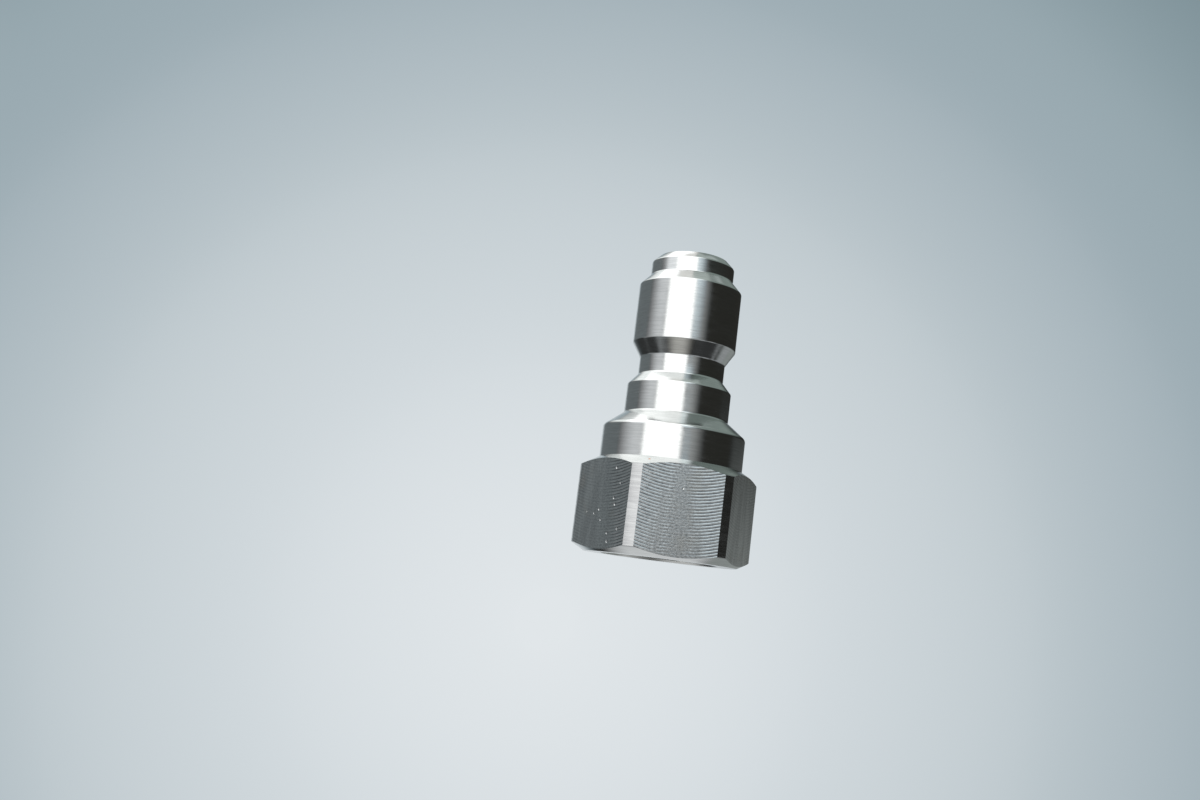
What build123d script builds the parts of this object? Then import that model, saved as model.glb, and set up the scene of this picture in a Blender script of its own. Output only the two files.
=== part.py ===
from build123d import *
from math import radians, tan
import os

# A straight-through quick coupling nipple, turned and milled from one stainless bar.
# Millimetres. The origin is the centre of the hex end's face, and +Z runs along the axis
# to the nose. A name ending in _z is a height above the hex end's face.

# Hex end, milled from the round bar, so that its six corners keep a strip of the bar
HEX_SIDES = 6
HEX_ACROSS_FLATS = 23.8
HEX_LENGTH = 14.1
HEX_CHAMFER_ANGLE = 30.0
HEX_FACE_DIAMETER = 22.8
BAR_DIAMETER = 26.6

# Back collar, with a long slope down to the front collar
BACK_COLLAR_DIAMETER = 21.4
BACK_COLLAR_LENGTH = 4.9
BACK_COLLAR_ROUNDING = 0.7
BACK_SLOPE_LENGTH = 2.2

# Front collar, with a slope down to the locking groove
FRONT_COLLAR_DIAMETER = 15.7
FRONT_COLLAR_LENGTH = 4.4
FRONT_SLOPE_LENGTH = 1.6

# Locking groove, and the slope that the socket's balls bear on
GROOVE_DIAMETER = 12.9
GROOVE_LENGTH = 2.7
GROOVE_ROUNDING = 0.45
LOCKING_SLOPE_LENGTH = 2.2

# Sealing head, with a slope up to the nose
HEAD_DIAMETER = 15.6
HEAD_LENGTH = 9.0
HEAD_SLOPE_LENGTH = 1.6

# Nose
NOSE_DIAMETER = 12.6
NOSE_LENGTH = 3.2
NOSE_CHAMFER = 1.1

# How far the other turned corners are softened
CORNER_ROUNDING = 0.35

# Pipe thread hole in the hex end, as the tap drill and the countersink leave it
THREAD_DRILL_DIAMETER = 14.7
THREAD_DRILL_DEPTH = 16.0
THREAD_DRILL_POINT_ANGLE = 118.0
THREAD_MOUTH_DIAMETER = 17.6
THREAD_MOUTH_ANGLE = 90.0

# Flow bore from the thread hole out through the nose
FLOW_BORE_DIAMETER = 9.0
FLOW_BORE_CHAMFER = 0.3

# Each height adds a length to the one before, so that a changed length carries on upwards
back_slope_z = HEX_LENGTH + BACK_COLLAR_LENGTH
front_collar_z = back_slope_z + BACK_SLOPE_LENGTH
front_slope_z = front_collar_z + FRONT_COLLAR_LENGTH
groove_z = front_slope_z + FRONT_SLOPE_LENGTH
locking_slope_z = groove_z + GROOVE_LENGTH
head_z = locking_slope_z + LOCKING_SLOPE_LENGTH
head_slope_z = head_z + HEAD_LENGTH
nose_z = head_slope_z + HEAD_SLOPE_LENGTH
top_z = nose_z + NOSE_LENGTH

# Radii that the sections below are drawn with
face_radius = HEX_FACE_DIAMETER / 2
bar_radius = BAR_DIAMETER / 2
back_radius = BACK_COLLAR_DIAMETER / 2
front_radius = FRONT_COLLAR_DIAMETER / 2
groove_radius = GROOVE_DIAMETER / 2
head_radius = HEAD_DIAMETER / 2
nose_radius = NOSE_DIAMETER / 2
flow_radius = FLOW_BORE_DIAMETER / 2
drill_radius = THREAD_DRILL_DIAMETER / 2
mouth_radius = THREAD_MOUTH_DIAMETER / 2


def turned(corners):
    """Turn a section about the axis. Each corner is its radius, its height and its rounding."""
    points = [(radius, height) for radius, height, rounding in corners]
    roundings = [rounding for radius, height, rounding in corners]
    outline = FilletPolyline(*points, radius=roundings, close=True)
    return revolve(Plane.XZ * make_face(outline), Axis.Z)


def turned_outside():
    """The blank as the lathe leaves it: hex end, collars, groove, head and nose."""
    hex_slope = tan(radians(HEX_CHAMFER_ANGLE))
    bar_start_z = (bar_radius - face_radius) * hex_slope
    bar_end_z = HEX_LENGTH - (bar_radius - back_radius) * hex_slope
    return turned([
        (0, 0, 0),
        (face_radius, 0, 0),
        (bar_radius, bar_start_z, 0),
        (bar_radius, bar_end_z, 0),
        (back_radius, HEX_LENGTH, 0),
        (back_radius, back_slope_z, BACK_COLLAR_ROUNDING),
        (front_radius, front_collar_z, CORNER_ROUNDING),
        (front_radius, front_slope_z, CORNER_ROUNDING),
        (groove_radius, groove_z, GROOVE_ROUNDING),
        (groove_radius, locking_slope_z, GROOVE_ROUNDING),
        (head_radius, head_z, CORNER_ROUNDING),
        (head_radius, head_slope_z, CORNER_ROUNDING),
        (nose_radius, nose_z, CORNER_ROUNDING),
        (nose_radius, top_z - NOSE_CHAMFER, CORNER_ROUNDING),
        (nose_radius - NOSE_CHAMFER, top_z, 0),
        (0, top_z, 0),
    ])


def milled_away():
    """What the cutter takes off round the six flats, one of which faces the front, -Y."""
    blank = Circle(bar_radius)
    hexagon = RegularPolygon(HEX_ACROSS_FLATS / 2, HEX_SIDES, major_radius=False)
    return extrude(blank - hexagon, HEX_LENGTH)


def hollow():
    """The countersunk thread hole with its drill point, and the flow bore beyond it."""
    mouth_depth = (mouth_radius - drill_radius) / tan(radians(THREAD_MOUTH_ANGLE / 2))
    point_depth = (drill_radius - flow_radius) / tan(radians(THREAD_DRILL_POINT_ANGLE / 2))
    return turned([
        (0, 0, 0),
        (mouth_radius, 0, 0),
        (drill_radius, mouth_depth, 0),
        (drill_radius, THREAD_DRILL_DEPTH, 0),
        (flow_radius, THREAD_DRILL_DEPTH + point_depth, 0),
        (flow_radius, top_z - FLOW_BORE_CHAMFER, 0),
        (flow_radius + FLOW_BORE_CHAMFER, top_z, 0),
        (0, top_z, 0),
    ])


coupling_nipple = turned_outside() - milled_away() - hollow()

os.makedirs("parts", exist_ok=True)
export_step(coupling_nipple, "parts/coupling_nipple.step")
print(f"overall length {top_z:.2f} mm")
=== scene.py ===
from math import cos, degrees, pi, radians, sin, tan

import bmesh
import bpy
from mathutils import Matrix, Vector


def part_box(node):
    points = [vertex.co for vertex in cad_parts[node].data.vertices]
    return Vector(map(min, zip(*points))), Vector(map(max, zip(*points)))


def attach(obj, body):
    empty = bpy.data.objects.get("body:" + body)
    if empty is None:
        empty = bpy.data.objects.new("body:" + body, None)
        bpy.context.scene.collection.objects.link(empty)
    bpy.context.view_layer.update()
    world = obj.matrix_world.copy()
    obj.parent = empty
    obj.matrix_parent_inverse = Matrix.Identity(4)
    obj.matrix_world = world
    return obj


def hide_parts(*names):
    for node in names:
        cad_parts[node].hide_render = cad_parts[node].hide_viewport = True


MM = 0.001

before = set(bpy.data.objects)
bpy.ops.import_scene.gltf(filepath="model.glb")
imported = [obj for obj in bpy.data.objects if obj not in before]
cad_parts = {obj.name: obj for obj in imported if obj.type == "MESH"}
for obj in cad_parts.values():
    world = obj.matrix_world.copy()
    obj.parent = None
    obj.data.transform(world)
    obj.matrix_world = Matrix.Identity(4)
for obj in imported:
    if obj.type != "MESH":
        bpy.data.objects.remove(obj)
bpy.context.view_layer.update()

# Sizes in millimetres, with heights above the hex end's face. The outermost come from the frame.
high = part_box("coupling_nipple")[1]
BAR_RADIUS = high.x / MM
FLAT_DISTANCE = high.y / MM
TOP = high.z / MM
HEX_SIDES = 6
HEX_LENGTH = 14.1
HEX_CHAMFER_ANGLE = radians(30)
HEX_FACE_RADIUS = 11.4
BACK_COLLAR_RADIUS = 10.7
BACK_COLLAR_END = 19.0
FRONT_COLLAR_RADIUS = 7.85
FRONT_COLLAR_START = 21.2
FRONT_COLLAR_END = 25.6
GROOVE_RADIUS = 6.45
GROOVE_START = 27.2
GROOVE_END = 29.9
HEAD_RADIUS = 7.8
HEAD_START = 32.1
HEAD_END = 41.1
NOSE_RADIUS = 6.3
NOSE_START = 42.7
NOSE_CHAMFER = 1.1

# Roundings of the turned corners
COLLAR_ROUNDING = 0.7
GROOVE_ROUNDING = 0.45
CORNER_ROUNDING = 0.35
TOP_ROUNDING = 0.15

# Thread hole and flow bore
MOUTH_RADIUS = 8.8
DRILL_RADIUS = 7.35
DRILL_DEPTH = 16.0
DRILL_POINT_ANGLE = radians(118)
FLOW_RADIUS = 4.5
FLOW_CHAMFER = 0.3

# Taper pipe thread, 18 to the inch, with a small flat at its roots and crests, whose ridge is sunk
# a little into the hole's wall
THREAD_PITCH = 25.4 / 18
THREAD_ROOT_RADIUS = 8.53
THREAD_TAPER = 1 / 32
THREAD_DEPTH = 11.5
THREAD_RUNOUT = 1.6
THREAD_START = 0.02
THREAD_FLANK_ANGLE = radians(30)
THREAD_FLAT = 0.06
THREAD_SUNK = 0.25

# How finely the shapes are turned, in steps a turn, rounded and cut
TURNING_STEPS = 240
THREAD_STEPS = 60
ARC_SEGMENTS = 5
SHARP_ANGLE = radians(20)
CUT_TOLERANCE = 1e-8

# The camera, found from the photo's outlines: it looks up a little at the nose
AIM_HEIGHT = 18.0
CAMERA_DISTANCE = 178.3
CAMERA_AZIMUTH = radians(-9.96)
CAMERA_ELEVATION = radians(-7.16)
CAMERA_ROLL = radians(6.69)
PHOTO_SIZE = (1200, 800)
AIM_PIXEL = (673.2, 439.9)
FOCAL_PIXELS = 1183.7


def main():
    bpy.context.scene.view_settings.view_transform = "Standard"
    lines, speck, nicks = turning_lines_group(), speck_group(), nicks_group()
    nipple = make_nipple([turned_steel(lines, speck, nicks), milled_steel(speck, nicks)])
    thread = make_thread([thread_steel(lines)])
    for piece in (nipple, thread):
        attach(piece, "root")
    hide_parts("coupling_nipple")
    make_floor()
    make_studio()
    make_camera()


def srgb(red, green, blue):
    """A colour as a picture editor names it, 0 to 255, made linear."""
    parts = [value / 255 for value in (red, green, blue)]
    return tuple(p / 12.92 if p <= 0.04045 else ((p + 0.055) / 1.055) ** 2.4 for p in parts) + (1,)


STEEL = srgb(214, 216, 215)
DULL_STEEL = srgb(192, 194, 193)
BAR_SKIN = srgb(160, 161, 162)
RIDGE_STEEL = srgb(232, 234, 233)
# The flats' darker steel: painted shade in the milling grooves, and also the real darker tone of
# the frost grain and the smears
GROOVE_SHADE_AND_GRAIN_STEEL = srgb(126, 129, 132)
THREAD_STEEL = srgb(196, 197, 194)
STAINED = srgb(172, 168, 158)
RUST = srgb(192, 116, 62)

# The rust speck's place and radius in millimetres
RUST_PLACE = Vector((-4.9, -10.62, 13.52))
RUST_RADIUS = 0.22

# The bar's own skin is left where the radius passes these, in millimetres
SKIN_RADII = (12.95, 13.2)

# How deep the marks are in the bump, in millimetres
TURNING_DEPTH = 0.0045
SKIN_DEPTH = 0.009
THREADING_DEPTH = 0.004
ARC_DEPTH = 0.014
CROSSING_ARC_DEPTH = 0.0025
GRAIN_DEPTH = 0.008
MIDDLE_GRAIN_DEPTH = 0.01
NICK_DEPTH = 0.02
SPECK_DEPTH = 0.05

# The frosted middle of each flat lies this far left of centre, and gets wider by this share of
# the way down from this height, in millimetres
FROST_LEFT = 0.4
FROST_WIDENING = 0.2
FROST_HEIGHT = 7.0

# How clear the milling lines are on each flat's left and right half, from the front one round
LINE_STRENGTH = [(1.0, 1.0), (0.16, 0.1), (0.8, 0.6), (0.7, 0.9), (0.9, 0.6), (0.25, 0.8)]

# Bright specks on the flats: which flat, how far across and up it in millimetres, and radius
BRIGHT_SPECKS = [
    (-1, 2.63, 11.96, 0.26),
    (-1, 3.88, 9.74, 0.18),
    (-1, 2.75, 7.65, 0.22),
    (-1, 3.15, 6.74, 0.24),
    (-1, 4.31, 3.3, 0.28),
    (-1, 2.06, 2.61, 0.22),
    (-1, 2.31, 1.46, 0.24),
    (-1, -0.38, 5.9, 0.2),
    (-1, -1.44, 5.3, 0.18),
    (-1, 0.25, 4.43, 0.18),
]

# Shapes


def nipple_section():
    """Half the nipple's section, once round, as corners of radius, height and rounding."""
    hex_slope = tan(HEX_CHAMFER_ANGLE)
    bar_start = (BAR_RADIUS - HEX_FACE_RADIUS) * hex_slope
    bar_end = HEX_LENGTH - (BAR_RADIUS - BACK_COLLAR_RADIUS) * hex_slope
    root_end = THREAD_ROOT_RADIUS - THREAD_DEPTH * THREAD_TAPER
    point_end = DRILL_DEPTH + (DRILL_RADIUS - FLOW_RADIUS) / tan(DRILL_POINT_ANGLE / 2)
    outside = [
        (HEX_FACE_RADIUS, 0, 0),
        (BAR_RADIUS, bar_start, 0),
        (BAR_RADIUS, bar_end, 0),
        (BACK_COLLAR_RADIUS, HEX_LENGTH, 0),
        (BACK_COLLAR_RADIUS, BACK_COLLAR_END, COLLAR_ROUNDING),
        (FRONT_COLLAR_RADIUS, FRONT_COLLAR_START, CORNER_ROUNDING),
        (FRONT_COLLAR_RADIUS, FRONT_COLLAR_END, CORNER_ROUNDING),
        (GROOVE_RADIUS, GROOVE_START, GROOVE_ROUNDING),
        (GROOVE_RADIUS, GROOVE_END, GROOVE_ROUNDING),
        (HEAD_RADIUS, HEAD_START, CORNER_ROUNDING),
        (HEAD_RADIUS, HEAD_END, CORNER_ROUNDING),
        (NOSE_RADIUS, NOSE_START, CORNER_ROUNDING),
        (NOSE_RADIUS, TOP - NOSE_CHAMFER, CORNER_ROUNDING),
        (NOSE_RADIUS - NOSE_CHAMFER, TOP, TOP_ROUNDING),
    ]
    inside = [
        (FLOW_RADIUS + FLOW_CHAMFER, TOP, 0),
        (FLOW_RADIUS, TOP - FLOW_CHAMFER, 0),
        (FLOW_RADIUS, point_end, 0),
        (DRILL_RADIUS, DRILL_DEPTH, 0),
        (DRILL_RADIUS, THREAD_DEPTH + THREAD_RUNOUT, 0),
        (root_end, THREAD_DEPTH, 0),
        (THREAD_ROOT_RADIUS, MOUTH_RADIUS - THREAD_ROOT_RADIUS, 0),
        (MOUTH_RADIUS, 0, 0),
    ]
    return outside + inside


def turn(corners):
    """A bmesh of a section turned about the axis. Rounded corners become arcs first."""
    bm = bmesh.new()
    places = [Vector((radius, 0, height)) * MM for radius, height, rounding in corners]
    verts = [bm.verts.new(place) for place in places]
    for i, vert in enumerate(verts):
        bm.edges.new((vert, verts[(i + 1) % len(verts)]))
    for i, (radius, height, rounding) in enumerate(corners):
        if rounding:
            before = places[i] - places[i - 1]
            after = places[(i + 1) % len(places)] - places[i]
            setback = rounding * MM * tan(before.angle(after) / 2)
            bmesh.ops.bevel(
                bm, geom=[verts[i]], offset=setback, offset_type="OFFSET", affect="VERTICES",
                segments=ARC_SEGMENTS, profile=0.5, material=-1,
            )
    bmesh.ops.spin(
        bm, geom=bm.verts[:] + bm.edges[:], cent=(0, 0, 0), axis=(0, 0, 1), angle=2 * pi,
        steps=TURNING_STEPS, use_merge=True,
    )
    bmesh.ops.recalc_face_normals(bm, faces=bm.faces[:])
    return bm


def mill_flats(bm):
    """Mill the six flats. Each new face keeps its width and height, in millimetres, as its UV."""
    for face in bm.faces:
        face.smooth = True
    across_and_up = bm.loops.layers.uv.new("milled_face")
    strengths = [bm.faces.layers.float.new(name) for name in ("lines_left", "lines_right")]
    for side in range(HEX_SIDES):
        turned = Matrix.Rotation(2 * pi * side / HEX_SIDES, 3, "Z")
        outward = turned @ Vector((0, -1, 0))
        across = turned @ Vector((1, 0, 0))
        cut = bmesh.ops.bisect_plane(
            bm, geom=bm.verts[:] + bm.edges[:] + bm.faces[:], dist=CUT_TOLERANCE,
            plane_co=outward * FLAT_DISTANCE * MM, plane_no=outward, clear_outer=True,
        )
        rim = [part for part in cut["geom_cut"] if isinstance(part, bmesh.types.BMEdge)]
        for face in bmesh.ops.edgeloop_fill(bm, edges=rim, mat_nr=1)["faces"]:
            face.normal_update()
            if face.normal.dot(outward) < 0:
                face.normal_flip()
            for strength, value in zip(strengths, LINE_STRENGTH[side]):
                face[strength] = value
            for loop in face.loops:
                place = loop.vert.co / MM
                loop[across_and_up].uv = (place.dot(across), place.z)


def make_nipple(finishes):
    bm = turn(nipple_section())
    mill_flats(bm)
    return as_piece("nipple", bm, finishes)


def make_thread(finishes):
    """The thread's ridge: one turn's section swept up a helix, then tapered and trimmed."""
    turns = int((THREAD_DEPTH + THREAD_RUNOUT) / THREAD_PITCH) + 1
    depth = THREAD_ROOT_RADIUS - DRILL_RADIUS
    half_root = THREAD_PITCH / 2 - THREAD_FLAT
    half_crest = max(THREAD_FLAT, half_root - depth * tan(THREAD_FLANK_ANGLE))
    section = [
        (THREAD_ROOT_RADIUS + THREAD_SUNK, -half_root),
        (THREAD_ROOT_RADIUS, -half_root),
        (DRILL_RADIUS, -half_crest),
        (DRILL_RADIUS, half_crest),
        (THREAD_ROOT_RADIUS, half_root),
        (THREAD_ROOT_RADIUS + THREAD_SUNK, half_root),
    ]
    bm = bmesh.new()
    verts = [bm.verts.new(Vector((r, 0, z - THREAD_PITCH)) * MM) for r, z in section]
    profile = bm.faces.new(verts)
    step = THREAD_PITCH / THREAD_STEPS * MM
    bmesh.ops.spin(
        bm, geom=[profile], cent=(0, 0, 0), axis=(0, 0, 1), dvec=(0, 0, step),
        angle=2 * pi * turns, steps=THREAD_STEPS * turns,
    )
    for vert in bm.verts:
        height = vert.co.z / MM
        radius = vert.co.xy.length / MM
        narrowed = radius - max(height, 0) * THREAD_TAPER
        vert.co.xy *= max(narrowed, DRILL_RADIUS, MOUTH_RADIUS - height) / radius
    for height, outward in ((THREAD_START, -1), (THREAD_DEPTH + THREAD_RUNOUT / 2, 1)):
        cut = bmesh.ops.bisect_plane(
            bm, geom=bm.verts[:] + bm.edges[:] + bm.faces[:], dist=CUT_TOLERANCE,
            plane_co=(0, 0, height * MM), plane_no=(0, 0, outward), clear_outer=True,
        )
        rim = [part for part in cut["geom_cut"] if isinstance(part, bmesh.types.BMEdge)]
        bmesh.ops.edgeloop_fill(bm, edges=rim)
    bmesh.ops.recalc_face_normals(bm, faces=bm.faces[:])
    for face in bm.faces:
        face.smooth = True
    return as_piece("pipe_thread", bm, finishes)


def as_piece(name, bm, finishes):
    """A finished object at the origin, whose straight walls aren't shaded by their roundings."""
    mesh = bpy.data.meshes.new(name)
    bm.to_mesh(mesh)
    bm.free()
    for finish in finishes:
        mesh.materials.append(finish)
    mesh.set_sharp_from_angle(angle=SHARP_ANGLE)
    piece = bpy.data.objects.new(name, mesh)
    bpy.context.scene.collection.objects.link(piece)
    shading = piece.modifiers.new("straight walls shade straight", "WEIGHTED_NORMAL")
    shading.keep_sharp = True
    return piece


# Materials


def new_group(name, inputs, outputs):
    """A shader node group with the given inputs and float outputs."""
    group = bpy.data.node_groups.new(name, "ShaderNodeTree")
    for label, kind, default in inputs:
        socket = group.interface.new_socket(label, in_out="INPUT", socket_type=kind)
        if default is not None:
            socket.default_value = default
    for label in outputs:
        group.interface.new_socket(label, in_out="OUTPUT", socket_type="NodeSocketFloat")
    return group, group.nodes.new("NodeGroupInput"), group.nodes.new("NodeGroupOutput")


def place_group(tree, group, **values):
    """A group in a material. An underscore in a value's name stands for a space."""
    node = tree.nodes.new("ShaderNodeGroup")
    node.node_tree = group
    for label, value in values.items():
        feed(tree, node.inputs[label.replace("_", " ")], value)
    return node


def feed(tree, socket, value):
    """Set a socket to a plain value, or link another node's output to it."""
    if isinstance(value, bpy.types.NodeSocket):
        tree.links.new(value, socket)
    else:
        socket.default_value = value


def math_node(tree, operation, *values):
    node = tree.nodes.new("ShaderNodeMath")
    node.operation = operation
    for socket, value in zip(node.inputs, values):
        feed(tree, socket, value)
    return node.outputs[0]


def measure(tree, operation, *vectors):
    """A number worked out from one or two vectors, such as their distance."""
    node = tree.nodes.new("ShaderNodeVectorMath")
    node.operation = operation
    for socket, vector in zip(node.inputs, vectors):
        feed(tree, socket, vector)
    return node.outputs["Value"]


def times(tree, *values):
    product = values[0]
    for value in values[1:]:
        product = math_node(tree, "MULTIPLY", product, value)
    return product


def plus(tree, *values):
    total = values[0]
    for value in values[1:]:
        total = math_node(tree, "ADD", total, value)
    return total


def ramp(tree, value, start, end, to_start=0.0, to_end=1.0):
    """Ease a value from start..end to to_start..to_end."""
    node = tree.nodes.new("ShaderNodeMapRange")
    node.interpolation_type = "SMOOTHSTEP"
    for socket, number in zip(node.inputs, (value, start, end, to_start, to_end)):
        feed(tree, socket, number)
    return node.outputs["Result"]


def noise(tree, vector, scale=1.0, detail=2.0, roughness=0.5):
    node = tree.nodes.new("ShaderNodeTexNoise")
    feed(tree, node.inputs["Vector"], vector)
    node.inputs["Scale"].default_value = scale
    node.inputs["Detail"].default_value = detail
    node.inputs["Roughness"].default_value = roughness
    return node.outputs["Fac"]


def combine(tree, *values):
    node = tree.nodes.new("ShaderNodeCombineXYZ")
    for socket, value in zip(node.inputs, values):
        feed(tree, socket, value)
    return node.outputs[0]


def split(tree, vector):
    node = tree.nodes.new("ShaderNodeSeparateXYZ")
    feed(tree, node.inputs[0], vector)
    return node.outputs


def turning_lines_group():
    """Lines round the axis, as a lathe tool leaves them, and the radius in millimetres. The noise
    changes slowly round the axis, and with the radius too, so that end faces get rings."""
    group, given, made = new_group(
        "turning lines",
        [("Place", "NodeSocketVector", None), ("Lines per mm", "NodeSocketFloat", 3.0)],
        ["Height", "Tone", "Radius"],
    )
    x, y, z = (times(group, output, 1 / MM) for output in split(group, given.outputs["Place"]))
    radius = math_node(group, "SQRT", plus(group, times(group, x, x), times(group, y, y)))
    along = plus(group, z, times(group, radius, 0.37))
    round_x, round_y = times(group, x, 0.3), times(group, y, 0.3)
    stretched = times(group, along, given.outputs["Lines per mm"])
    fine = combine(group, round_x, round_y, stretched)
    broad = combine(group, round_x, round_y, times(group, along, 1.1))
    group.links.new(noise(group, fine, detail=3.0, roughness=0.65), made.inputs["Height"])
    group.links.new(noise(group, broad), made.inputs["Tone"])
    group.links.new(radius, made.inputs["Radius"])
    return group


def milling_arcs_group():
    """Arcs that a face cutter leaves across a flat, one for each step of its feed. Lengths are in
    millimetres."""
    group, given, made = new_group(
        "milling arcs",
        [
            ("Across", "NodeSocketFloat", None),
            ("Up", "NodeSocketFloat", None),
            ("Cutter radius", "NodeSocketFloat", 20.0),
            ("Cutter offset", "NodeSocketFloat", -0.25),
            ("Feed", "NodeSocketFloat", 0.4425),
        ],
        ["Height"],
    )
    across, up, radius, offset, feed_step = (given.outputs[i] for i in range(5))
    aside = math_node(group, "SUBTRACT", across, offset)
    drop = math_node(group, "SUBTRACT", times(group, radius, radius), times(group, aside, aside))
    rise = math_node(group, "SUBTRACT", math_node(group, "SQRT", drop), radius)
    turns = math_node(group, "DIVIDE", plus(group, up, rise), feed_step)
    height = math_node(group, "SINE", times(group, turns, 2 * pi))
    group.links.new(height, made.inputs["Height"])
    return group


def speck_group():
    """A small soft spot round a point."""
    group, given, made = new_group(
        "speck",
        [
            ("Place", "NodeSocketVector", None),
            ("Centre", "NodeSocketVector", None),
            ("Radius", "NodeSocketFloat", 0.0001),
        ],
        ["Mask"],
    )
    gap = measure(group, "DISTANCE", given.outputs["Place"], given.outputs["Centre"])
    share = math_node(group, "DIVIDE", gap, given.outputs["Radius"])
    group.links.new(ramp(group, share, 0.45, 1.0, 1.0, 0.0), made.inputs["Mask"])
    return group


def nicks_group():
    """Sparse tiny dents from handling."""
    group, given, made = new_group(
        "nicks",
        [
            ("Place", "NodeSocketVector", None),
            ("Per metre", "NodeSocketFloat", 600.0),
            ("Share", "NodeSocketFloat", 0.1),
        ],
        ["Mask"],
    )
    cells = group.nodes.new("ShaderNodeTexVoronoi")
    group.links.new(given.outputs["Place"], cells.inputs["Vector"])
    group.links.new(given.outputs["Per metre"], cells.inputs["Scale"])
    near = ramp(group, cells.outputs["Distance"], 0.04, 0.09, 1.0, 0.0)
    drawn = split(group, cells.outputs["Color"])[0]
    chosen = math_node(group, "LESS_THAN", drawn, given.outputs["Share"])
    group.links.new(times(group, near, chosen), made.inputs["Mask"])
    return group


def new_steel(name, colour, anisotropic=0.0):
    """A bare metal material: its node tree, its shader and the object's own coordinates."""
    material = bpy.data.materials.new(name)
    material.use_nodes = True
    tree = material.node_tree
    shader = tree.nodes["Principled BSDF"]
    shader.inputs["Base Color"].default_value = colour
    shader.inputs["Metallic"].default_value = 1.0
    shader.inputs["Anisotropic"].default_value = anisotropic
    place = tree.nodes.new("ShaderNodeTexCoord").outputs["Object"]
    return material, tree, shader, place


def face_value(tree, name):
    """A number that each face of a piece carries."""
    node = tree.nodes.new("ShaderNodeAttribute")
    node.attribute_name = name
    return node.outputs["Fac"]


def mix_colours(tree, share, first, second):
    """From the first colour to the second as the share goes from 0 to 1."""
    node = tree.nodes.new("ShaderNodeMix")
    node.data_type = "RGBA"
    # The node's other sockets are for numbers, vectors and turns
    for i, value in ((0, share), (6, first), (7, second)):
        feed(tree, node.inputs[i], value)
    return node.outputs[2]


def bump(tree, shader, height):
    """Bump from a height in millimetres."""
    node = tree.nodes.new("ShaderNodeBump")
    node.inputs["Strength"].default_value = 1.0
    node.inputs["Distance"].default_value = MM
    tree.links.new(height, node.inputs["Height"])
    tree.links.new(node.outputs["Normal"], shader.inputs["Normal"])


def lathe_grain(tree, shader):
    """The metal's grain runs round the axis."""
    node = tree.nodes.new("ShaderNodeTangent")
    node.direction_type = "RADIAL"
    node.axis = "Z"
    tree.links.new(node.outputs[0], shader.inputs["Tangent"])


def turned_steel(lines_group, speck, nicks):
    """Bright turned steel, duller where the bar's skin is left on the hex corners."""
    material, tree, shader, place = new_steel("turned stainless steel", STEEL, anisotropic=0.4)
    lines = place_group(tree, lines_group, Place=place, Lines_per_mm=5.0)
    line_height = lines.outputs["Height"]
    skin = ramp(tree, lines.outputs["Radius"], *SKIN_RADII)
    tone = ramp(tree, lines.outputs["Tone"], 0.3, 0.7, 0.11, 0.17)
    tree.links.new(plus(tree, tone, times(tree, skin, 0.08)), shader.inputs["Roughness"])
    depth = plus(tree, times(tree, skin, SKIN_DEPTH), TURNING_DEPTH)
    dents = place_group(tree, nicks, Place=place, Per_metre=420.0, Share=0.16).outputs["Mask"]
    marks = times(tree, line_height, depth)
    bump(tree, shader, plus(tree, marks, times(tree, dents, -NICK_DEPTH)))
    streaks = ramp(tree, line_height, 0.35, 0.65, 0.0, 0.5)
    skin_share = times(tree, skin, plus(tree, times(tree, streaks, 0.6), 0.6))
    rust = place_group(
        tree, speck, Place=place, Centre=RUST_PLACE * MM, Radius=RUST_RADIUS * MM,
    ).outputs["Mask"]
    colour = mix_colours(tree, streaks, STEEL, DULL_STEEL)
    colour = mix_colours(tree, skin_share, colour, BAR_SKIN)
    colour = mix_colours(tree, rust, colour, RUST)
    tree.links.new(colour, shader.inputs["Base Color"])
    lathe_grain(tree, shader)
    return material


def thread_steel(lines_group):
    """Steel as the thread tool leaves it, a little rougher than the turned outside."""
    material, tree, shader, place = new_steel("cut thread steel", THREAD_STEEL, anisotropic=0.3)
    lines = place_group(tree, lines_group, Place=place, Lines_per_mm=8.0)
    roughness = ramp(tree, lines.outputs["Tone"], 0.3, 0.7, 0.22, 0.32)
    tree.links.new(roughness, shader.inputs["Roughness"])
    bump(tree, shader, times(tree, lines.outputs["Height"], THREADING_DEPTH))
    lathe_grain(tree, shader)
    return material


def stretched_noise(tree, across, up, per_mm_across, per_mm_up, detail=2.0, roughness=0.5):
    """Noise on a flat, with its own scale each way."""
    place = combine(tree, times(tree, across, per_mm_across), times(tree, up, per_mm_up), 0.0)
    return noise(tree, place, detail=detail, roughness=roughness)


def line_clearness(tree, across):
    """How clear the lines are here, blended from the left to the right half of each flat."""
    rightward = ramp(tree, across, -2.5, 2.5)
    leftward = math_node(tree, "SUBTRACT", 1.0, rightward)
    left = times(tree, face_value(tree, "lines_left"), leftward)
    right = times(tree, face_value(tree, "lines_right"), rightward)
    return plus(tree, left, right)


def dented_places(tree, speck, nicks, place):
    """Where the flats have nicks, and the bright specks seen in the photo."""
    dents = place_group(tree, nicks, Place=place, Per_metre=500.0, Share=0.12).outputs["Mask"]
    for side, across, up, radius in BRIGHT_SPECKS:
        turned = Matrix.Rotation(2 * pi * side / HEX_SIDES, 3, "Z")
        centre = turned @ Vector((across, -FLAT_DISTANCE, up)) * MM
        spot = place_group(tree, speck, Place=place, Centre=centre, Radius=radius * MM)
        dents = math_node(tree, "MAXIMUM", dents, spot.outputs["Mask"])
    return dents


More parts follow.
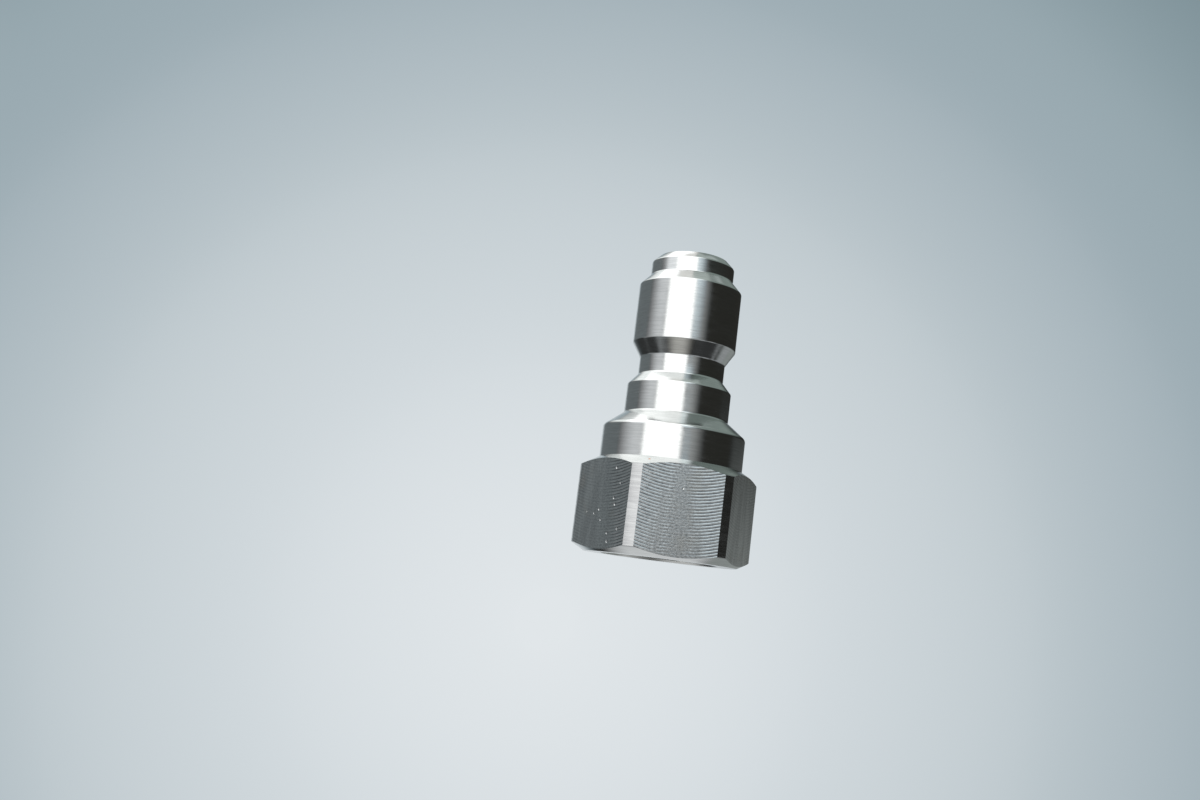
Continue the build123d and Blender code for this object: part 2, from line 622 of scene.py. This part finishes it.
def milled_steel(speck, nicks):
    """Steel as a face cutter leaves it: clear arcs near a flat's sides, whose grooves are darkened
    with painted shade, and a frosted middle, which is wider towards the foot. Flats with faint
    lines are smeared and duller."""
    material, tree, shader, place = new_steel("milled stainless steel", STEEL)
    face = tree.nodes.new("ShaderNodeUVMap")
    face.uv_map = "milled_face"
    across, up = split(tree, face.outputs[0])[:2]
    arcs, downward = milling_arcs_group(), times(tree, up, -1.0)
    leading = place_group(tree, arcs, Across=across, Up=up).outputs["Height"]
    crossing = place_group(
        tree, arcs, Across=across, Up=downward, Cutter_offset=0.8,
    ).outputs["Height"]

    clear = line_clearness(tree, across)
    dull = math_node(tree, "SUBTRACT", 1.0, clear)
    aside = math_node(tree, "ABSOLUTE", plus(tree, across, FROST_LEFT))
    aside = plus(tree, aside, times(tree, plus(tree, up, -FROST_HEIGHT), FROST_WIDENING))
    sides = times(tree, ramp(tree, aside, 1.2, 4.4, 0.25, 1.0), clear)
    middle = times(tree, ramp(tree, aside, 1.2, 3.8, 1.0, 0.1), clear)
    uneven = ramp(tree, stretched_noise(tree, across, up, 0.25, 2.2), 0.3, 0.7, 0.55, 1.25)
    grain = stretched_noise(tree, across, up, 2.6, 4.2, detail=3.0, roughness=0.7)
    dents = dented_places(tree, speck, nicks, place)
    grain_depth = plus(tree, times(tree, middle, MIDDLE_GRAIN_DEPTH), GRAIN_DEPTH)
    bump(tree, shader, plus(
        tree,
        times(tree, leading, sides, uneven, ARC_DEPTH),
        times(tree, crossing, middle, CROSSING_ARC_DEPTH),
        times(tree, grain, grain_depth),
        times(tree, dents, -SPECK_DEPTH),
    ))

    # Painted shade: the colour is darkened in the hollows of the milling arcs, as if they were
    # shadowed
    painted_groove_shade = times(tree, ramp(tree, leading, 0.3, -0.9), sides, uneven, 0.9)
    frosting = plus(tree, times(tree, middle, 0.32), 0.14)
    frost = times(tree, ramp(tree, grain, 0.58, 0.38), frosting)
    streaks = ramp(tree, stretched_noise(tree, across, up, 0.75, 0.09), 0.38, 0.62)
    smears = times(tree, streaks, dull, 0.3)
    stain = ramp(tree, noise(tree, place, scale=260.0, detail=3.0, roughness=0.6), 0.52, 0.72)
    colour = mix_colours(tree, plus(tree, painted_groove_shade, frost, smears), RIDGE_STEEL, GROOVE_SHADE_AND_GRAIN_STEEL)
    colour = mix_colours(tree, times(tree, stain, 0.35), colour, STAINED)
    tree.links.new(colour, shader.inputs["Base Color"])
    roughness = plus(
        tree, times(tree, stain, 0.08), times(tree, dents, 0.2), times(tree, dull, 0.14), 0.1,
    )
    tree.links.new(roughness, shader.inputs["Roughness"])
    return material


# Stage


def studio_direction(tree):
    """Azimuth from the front, positive to the right of the camera, and elevation, in degrees."""
    x, y, z = split(tree, tree.nodes.new("ShaderNodeTexCoord").outputs["Generated"])
    azimuth = math_node(tree, "ARCTAN2", x, times(tree, y, -1.0))
    elevation = math_node(tree, "ARCSINE", z)
    return times(tree, azimuth, degrees(1)), times(tree, elevation, degrees(1))


def band(tree, angle, start, end, blur):
    """1 between two angles in degrees and 0 outside them, with soft edges."""
    middle, half = (start + end) / 2, (end - start) / 2
    turned = math_node(tree, "WRAP", math_node(tree, "SUBTRACT", angle, middle), 180.0, -180.0)
    away = math_node(tree, "ABSOLUTE", turned)
    return ramp(tree, away, half - blur / 2, half + blur / 2, 1.0, 0.0)


def panel_mask(tree, azimuth, elevation, sides, heights, blur):
    """A soft-edged window in the studio's walls, from side to side and from height to height."""
    across = band(tree, azimuth, *sides, blur[0])
    upward = band(tree, elevation, *heights, blur[1])
    return times(tree, across, upward)


# Windows, walls and cards round the object. Sides are degrees from the front, positive to the
# camera's right, and heights are degrees above the horizon. Then come the width of the soft
# edges, the level and the colour.
STUDIO = [
    ("key window", (-60, 3), (-20, 70), (9, 16), 1.75, (255, 255, 255)),
    ("high window", (-192, 14), (46, 73), (16, 10), 1.9, (255, 255, 255)),
    ("ceiling", (-200, 14), (60, 120), (16, 14), 1.0, (252, 251, 248)),
    ("left window", (-122, -50), (29, 80), (24, 22), 2.0, (255, 255, 255)),
    ("left sill", (-92, -50), (14, 60), (24, 14), 1.2, (250, 252, 255)),
    ("left spill", (-96, -46), (-14, 40), (52, 30), 0.8, (250, 252, 255)),
    ("left wall", (-190, -98), (-8, 34), (30, 24), 0.205, (232, 245, 250)),
    ("back left wall", (-168, -95), (26, 60), (30, 24), 1.3, (248, 252, 252)),
    ("right spill", (-30, 29), (-3, 24), (32, 20), 0.48, (238, 241, 241)),
    ("right low spill", (-2, 20), (2.5, 8.5), (14, 4), 0.6, (224, 238, 246)),
    ("right shoulder", (-30, 19), (11.5, 72), (38, 4), 1.15, (230, 243, 250)),
    ("right corner", (-4, 31), (42, 72), (24, 12), 1.75, (240, 248, 250)),
    ("top right", (8, 168), (66, 120), (30, 12), 0.66, (228, 240, 236)),
    ("right sky", (24, 176), (27, 96), (40, 20), 0.38, (214, 232, 226)),
    ("right card", (92, 128), (28, 52), (20, 16), 0.32, (210, 232, 226)),
    ("back right window", (121, 143), (50, 76), (14, 14), 0.6, (232, 244, 242)),
    ("right low card", (96, 176), (-70, 3), (26, 20), 0.38, (232, 240, 238)),
    ("front floor", (-50, 2), (-70, -18), (40, 16), 0.55, (252, 250, 244)),
    ("ground", (98, 300), (-100, -46), (40, 20), 0.85, (246, 248, 250)),
    ("table", (-200, 200), (-60, -7), (10, 12), 0.045, (244, 248, 250)),
    ("table front", (-84, 40), (-39, -4), (20, 8), 0.46, (236, 241, 244)),
    ("table right", (40, 66), (-29, -4), (20, 5), 0.42, (236, 241, 244)),
    ("table corner", (71, 87), (-31.5, -4), (12, 3), 0.34, (236, 241, 244)),
    ("table side", (87, 124), (-25, -4), (14, 4), 0.42, (236, 241, 244)),
    ("table left", (-118, -76), (-24, -4), (12, 6), 0.34, (236, 241, 244)),
]

# The room's colour where nothing lights it
STUDIO_BASE = (0.028, 0.028, 0.025)

# The part of the backdrop behind the object that the steel reflects, and the part that the glow
# shades, each with its sides, heights and soft edges in degrees
REFLECTED_BACKDROP = ((162, 198), (-24, 44), (20, 24))
SHADED_BACKDROP = ((134, 210), (-36, 44), (16, 16))


def brighter(tree, first, second):
    """The brighter of two colours, channel by channel."""
    node = tree.nodes.new("ShaderNodeVectorMath")
    node.operation = "MAXIMUM"
    feed(tree, node.inputs[0], first)
    feed(tree, node.inputs[1], second)
    return node.outputs[0]


def scaled(tree, colour, level):
    node = tree.nodes.new("ShaderNodeVectorMath")
    node.operation = "SCALE"
    feed(tree, node.inputs[0], colour)
    feed(tree, node.inputs["Scale"], level)
    return node.outputs[0]


def make_studio():
    """A world of soft windows and cards that light the steel, with the backdrop for the camera."""
    world = bpy.data.worlds.new("studio")
    world.use_nodes = True
    bpy.context.scene.world = world
    tree = world.node_tree
    tree.nodes.clear()
    azimuth, elevation = studio_direction(tree)
    pale = backdrop_colour(tree, azimuth, elevation)
    behind = panel_mask(tree, azimuth, elevation, *REFLECTED_BACKDROP)
    total = brighter(tree, STUDIO_BASE, scaled(tree, pale, behind))
    for name, sides, heights, blur, level, colour in STUDIO:
        mask = panel_mask(tree, azimuth, elevation, sides, heights, blur)
        mask.node.label = name
        panel = scaled(tree, srgb(*colour)[:3], times(tree, mask, level))
        total = brighter(tree, total, panel)
    panels = tree.nodes.new("ShaderNodeBackground")
    tree.links.new(total, panels.inputs["Color"])
    backdrop = tree.nodes.new("ShaderNodeBackground")
    tree.links.new(pale, backdrop.inputs["Color"])
    path = tree.nodes.new("ShaderNodeLightPath")
    seen = tree.nodes.new("ShaderNodeMixShader")
    tree.links.new(path.outputs["Is Camera Ray"], seen.inputs[0])
    tree.links.new(panels.outputs[0], seen.inputs[1])
    tree.links.new(backdrop.outputs[0], seen.inputs[2])
    out = tree.nodes.new("ShaderNodeOutputWorld")
    tree.links.new(seen.outputs[0], out.inputs["Surface"])


# The backdrop's glow: its direction, and its spread in degrees
GLOW_DIRECTION = (0.085, 0.996, -0.037)
GLOW_SPREAD = 60.0

# Backdrop shades, each with its share of the glow's spread
BACKDROP = [
    (0.0, (225, 230, 233)),
    (0.2, (212, 219, 223)),
    (0.37, (191, 201, 206)),
    (0.5, (164, 178, 185)),
    (0.6, (147, 164, 171)),
    (0.7, (122, 141, 148)),
]
SIDE_SHADE = srgb(206, 213, 218)


def backdrop_colour(tree, azimuth, elevation):
    """A pale backdrop that glows behind the object, dulls away from it and is plain beside it."""
    place = tree.nodes.new("ShaderNodeTexCoord").outputs["Generated"]
    angle = math_node(tree, "ARCCOSINE", measure(tree, "DOT_PRODUCT", place, GLOW_DIRECTION))
    away = times(tree, angle, degrees(1) / GLOW_SPREAD)
    shades = tree.nodes.new("ShaderNodeValToRGB")
    shades.color_ramp.interpolation = "CARDINAL"
    tree.links.new(away, shades.inputs[0])
    elements = shades.color_ramp.elements
    for share, _ in BACKDROP[1:-1]:
        elements.new(share)
    for element, (share, shade) in zip(elements, BACKDROP):
        element.position = share
        element.color = srgb(*shade)
    back = panel_mask(tree, azimuth, elevation, *SHADED_BACKDROP)
    return mix_colours(tree, back, SIDE_SHADE, shades.outputs[0])


# Metres, but for the floor's drop in millimetres below the hex end's face
FLOOR_RADIUS = 0.6
FLOOR_FADE_START = 0.15
FLOOR_DROP = 0.02
FLOOR_PAPER = srgb(226, 231, 236)


def make_floor():
    """A pale table top, seen only from above, that fades into the backdrop."""
    bm = bmesh.new()
    bmesh.ops.create_circle(bm, cap_ends=True, radius=FLOOR_RADIUS, segments=96)
    bmesh.ops.translate(bm, verts=bm.verts[:], vec=(0, 0, -FLOOR_DROP * MM))
    mesh = bpy.data.meshes.new("floor")
    bm.to_mesh(mesh)
    bm.free()
    floor = bpy.data.objects.new("floor", mesh)
    bpy.context.scene.collection.objects.link(floor)
    material = bpy.data.materials.new("floor paper")
    material.use_nodes = True
    tree = material.node_tree
    tree.nodes.remove(tree.nodes["Principled BSDF"])
    paper = tree.nodes.new("ShaderNodeBsdfDiffuse")
    paper.inputs["Color"].default_value = FLOOR_PAPER
    clear = tree.nodes.new("ShaderNodeBsdfTransparent")
    distance = measure(tree, "LENGTH", tree.nodes.new("ShaderNodeTexCoord").outputs["Object"])
    fade = ramp(tree, distance, FLOOR_FADE_START, FLOOR_RADIUS * 0.98, 1.0, 0.0)
    below = tree.nodes.new("ShaderNodeNewGeometry").outputs["Backfacing"]
    above = math_node(tree, "SUBTRACT", 1.0, below)
    reflected = tree.nodes.new("ShaderNodeLightPath").outputs["Is Glossy Ray"]
    direct = math_node(tree, "SUBTRACT", 1.0, reflected)
    shown = times(tree, fade, above, direct)
    mix = tree.nodes.new("ShaderNodeMixShader")
    tree.links.new(shown, mix.inputs[0])
    tree.links.new(clear.outputs[0], mix.inputs[1])
    tree.links.new(paper.outputs[0], mix.inputs[2])
    tree.links.new(mix.outputs[0], tree.nodes["Material Output"].inputs["Surface"])
    mesh.materials.append(material)
    return floor


def make_camera():
    """The photo's camera, placed by distance and angles, then turned until the aim point lands on
    its pixel."""
    aim = Vector((0, 0, AIM_HEIGHT)) * MM
    level = cos(CAMERA_ELEVATION)
    away = Vector((
        sin(CAMERA_AZIMUTH) * level, -cos(CAMERA_AZIMUTH) * level, sin(CAMERA_ELEVATION),
    ))
    place = aim + away * CAMERA_DISTANCE * MM
    right = Vector((0, 0, 1)).cross(away).normalized()
    up = away.cross(right)
    looking = Matrix((right, up, away)).transposed()
    rolled = looking @ Matrix.Rotation(CAMERA_ROLL, 3, "Z")
    wide, tall = PHOTO_SIZE
    aside = (AIM_PIXEL[0] - wide / 2) / FOCAL_PIXELS
    above = (tall / 2 - AIM_PIXEL[1]) / FOCAL_PIXELS
    off_axis = Vector((0, 0, -1)).rotation_difference(Vector((aside, above, -1)))
    turned = rolled @ off_axis.inverted().to_matrix()
    data = bpy.data.cameras.new("photo camera")
    data.sensor_width = 36
    data.lens = FOCAL_PIXELS / wide * data.sensor_width
    data.clip_start = 0.005
    camera = bpy.data.objects.new("photo camera", data)
    camera.matrix_world = Matrix.Translation(place) @ turned.to_4x4()
    bpy.context.scene.collection.objects.link(camera)
    bpy.context.scene.camera = camera


main()
